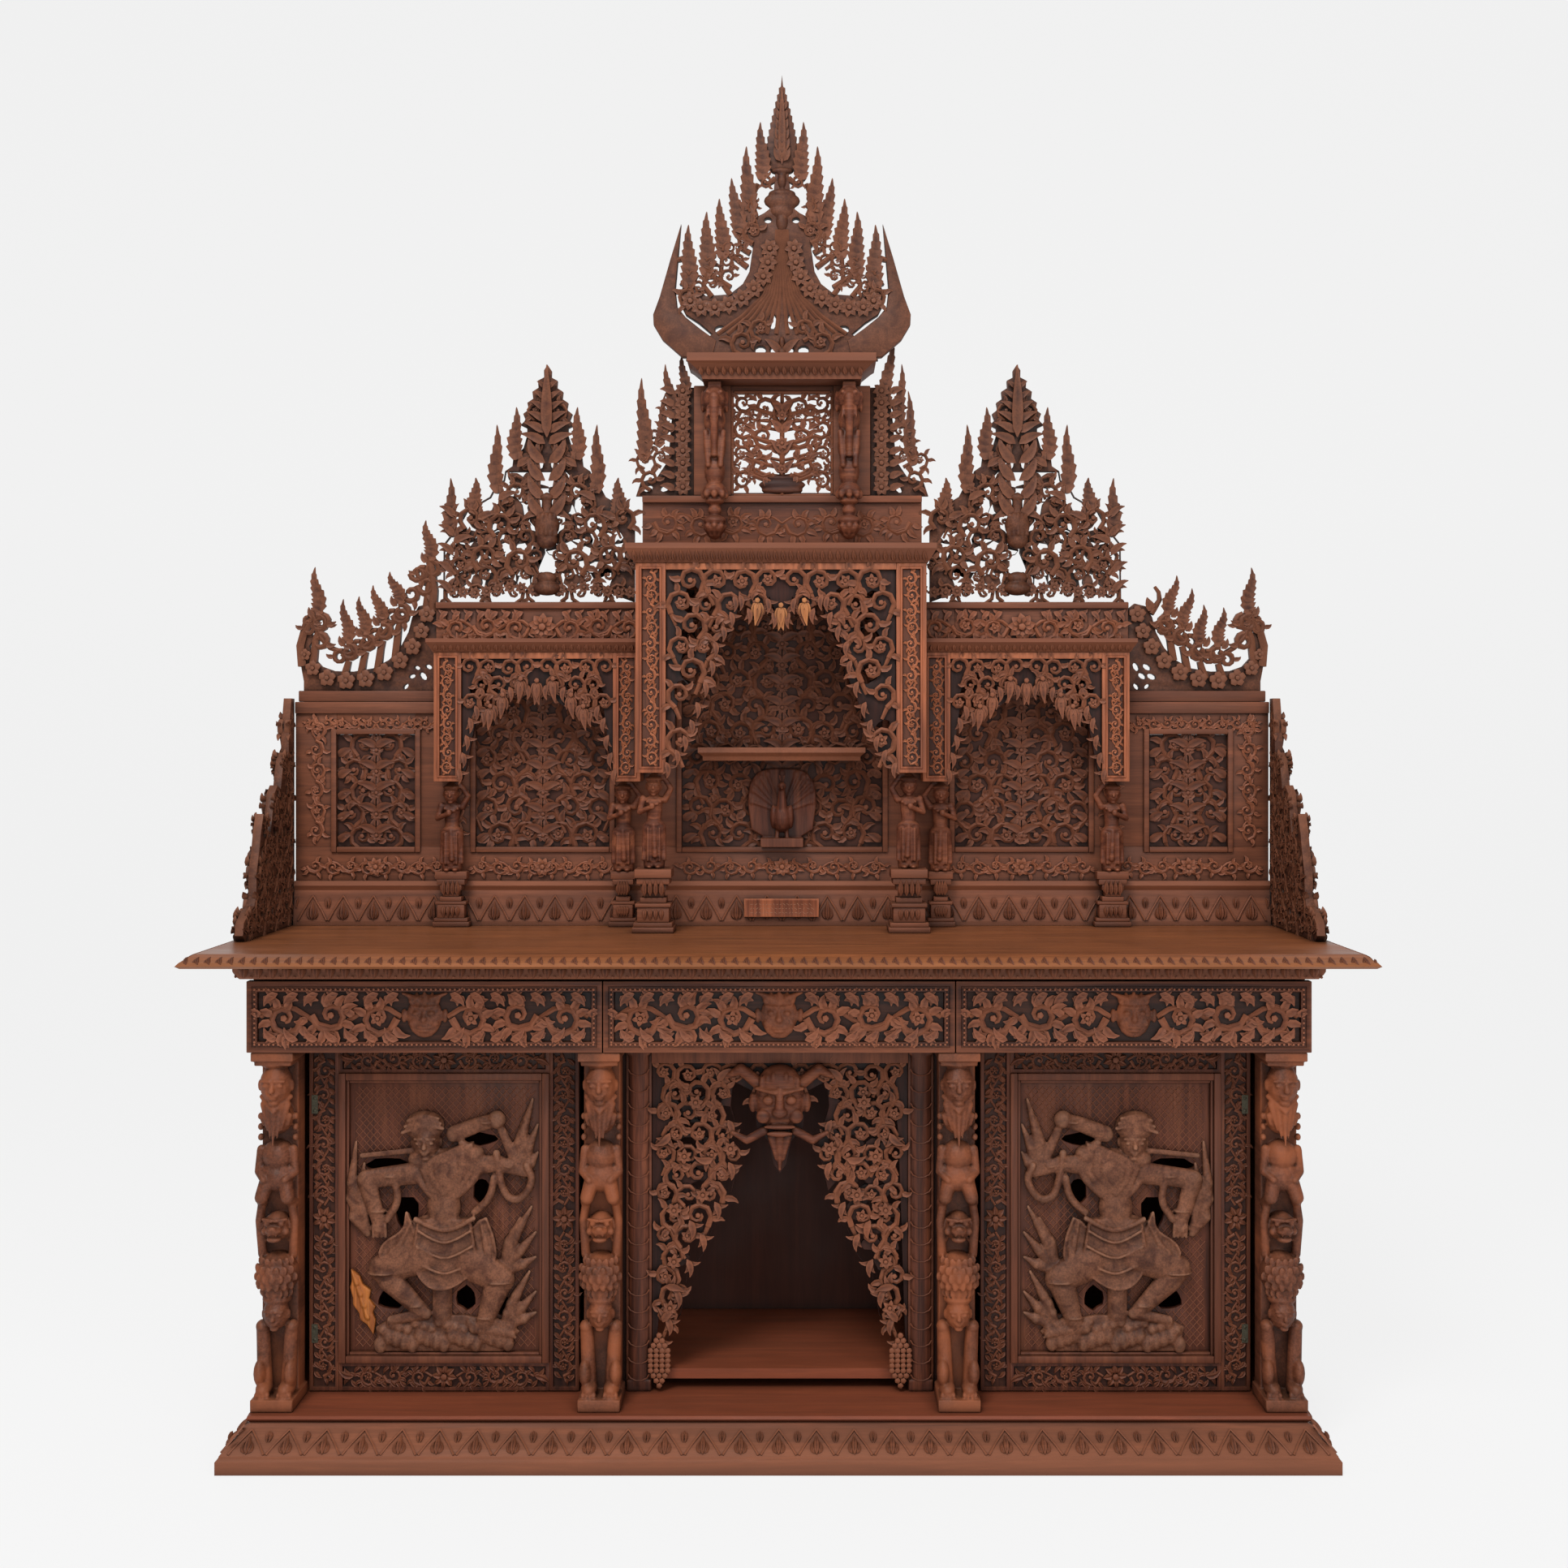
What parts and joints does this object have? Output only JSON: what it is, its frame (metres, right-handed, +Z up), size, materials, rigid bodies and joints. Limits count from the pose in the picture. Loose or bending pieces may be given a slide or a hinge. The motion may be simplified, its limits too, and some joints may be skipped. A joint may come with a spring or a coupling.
{
  "type": "shrine cabinet",
  "caption": "carved teak shrine cabinet: cupboard with figure columns, hinged doors, drawers and an open bay under a wall of canopied niches with openwork flame crests",
  "frame": {"origin": "middle of the underside's bounding box, on the floor", "axes": "+Z up, +X to the right seen from the front, -Y towards the front"},
  "size_m": [2.208, 0.643, 2.761],
  "materials": {
    "teak_dark": "oiled, dark with age",
    "teak_carved": "carved and oiled",
    "teak_warm": "carved, reddish and worn",
    "teak_satin": "oiled to a satin",
    "teak_grey": "carved, greyed with dust"
  },
  "bodies": {
    "cabinet": {"base_plinth": "teak_carved", "base_board": "teak_warm", "side_panel_right": "teak_dark", "side_panel_left": "teak_dark", "carcass_back": "teak_dark", "dust_board": "teak_dark", "partition_right": "teak_dark", "partition_left": "teak_dark", "bay_floor": "teak_warm", "column_outer_right": "teak_warm", "column_outer_left": "teak_warm", "column_inner_right": "teak_warm", "column_inner_left": "teak_warm", "top_slab": "teak_satin", "slab_moulding": "teak_carved", "bay_frame": "teak_carved", "bay_valance": "teak_carved", "wall_frame": "teak_carved", "wall_panel_outer_left": "teak_dark", "wall_panel_left": "teak_dark", "wall_panel_centre": "teak_dark", "wall_panel_right": "teak_dark", "wall_panel_outer_right": "teak_dark", "skirting": "teak_carved", "nameplate": "teak_satin", "wing_right": "teak_carved", "wing_left": "teak_carved", "crest_right": "teak_carved", "crest_left": "teak_carved", "crest_outer_left": "teak_carved", "crest_outer_right": "teak_carved", "canopy_right": "teak_carved", "canopy_left": "teak_carved", "canopy_centre": "teak_carved", "cornice_right": "teak_carved", "cornice_left": "teak_carved", "cornice_centre": "teak_carved", "attendant_outer_right": "teak_warm", "attendant_outer_left": "teak_warm", "attendant_inner_right": "teak_warm", "attendant_inner_left": "teak_warm", "attendant_centre_right": "teak_warm", "attendant_centre_left": "teak_warm", "tower_wall": "teak_carved", "tower_bracket_right": "teak_warm", "tower_bracket_left": "teak_warm", "tower_cornice": "teak_carved", "tower_wing_left": "teak_carved", "tower_wing_right": "teak_carved", "tower_crest": "teak_carved", "shelf": "teak_warm", "peacock": "teak_warm"},
    "door_left": {"door_frame_left": "teak_dark", "door_panel_left": "teak_grey"},
    "door_right": {"door_frame_right": "teak_dark", "door_panel_right": "teak_grey"},
    "drawer_left": {"drawer_left": "teak_carved"},
    "drawer_centre": {"drawer_centre": "teak_carved"},
    "drawer_right": {"drawer_right": "teak_carved"}
  },
  "joints": [
    {"name": "door_left_hinge", "type": "hinge", "parent": "cabinet", "child": "door_left", "pos_m": [-0.917, -0.102, 0.423], "axis": [0, 0, -1], "range_deg": [0, 75]},
    {"name": "door_right_hinge", "type": "hinge", "parent": "cabinet", "child": "door_right", "pos_m": [0.917, -0.102, 0.423], "axis": [0, 0, 1], "range_deg": [0, 75]},
    {"name": "drawer_left_slide", "type": "slide", "parent": "cabinet", "child": "drawer_left", "axis": [0, -1, 0], "range_m": [0, 0.34]},
    {"name": "drawer_centre_slide", "type": "slide", "parent": "cabinet", "child": "drawer_centre", "axis": [0, -1, 0], "range_m": [0, 0.34]},
    {"name": "drawer_right_slide", "type": "slide", "parent": "cabinet", "child": "drawer_right", "axis": [0, -1, 0], "range_m": [0, 0.34]}
  ]
}
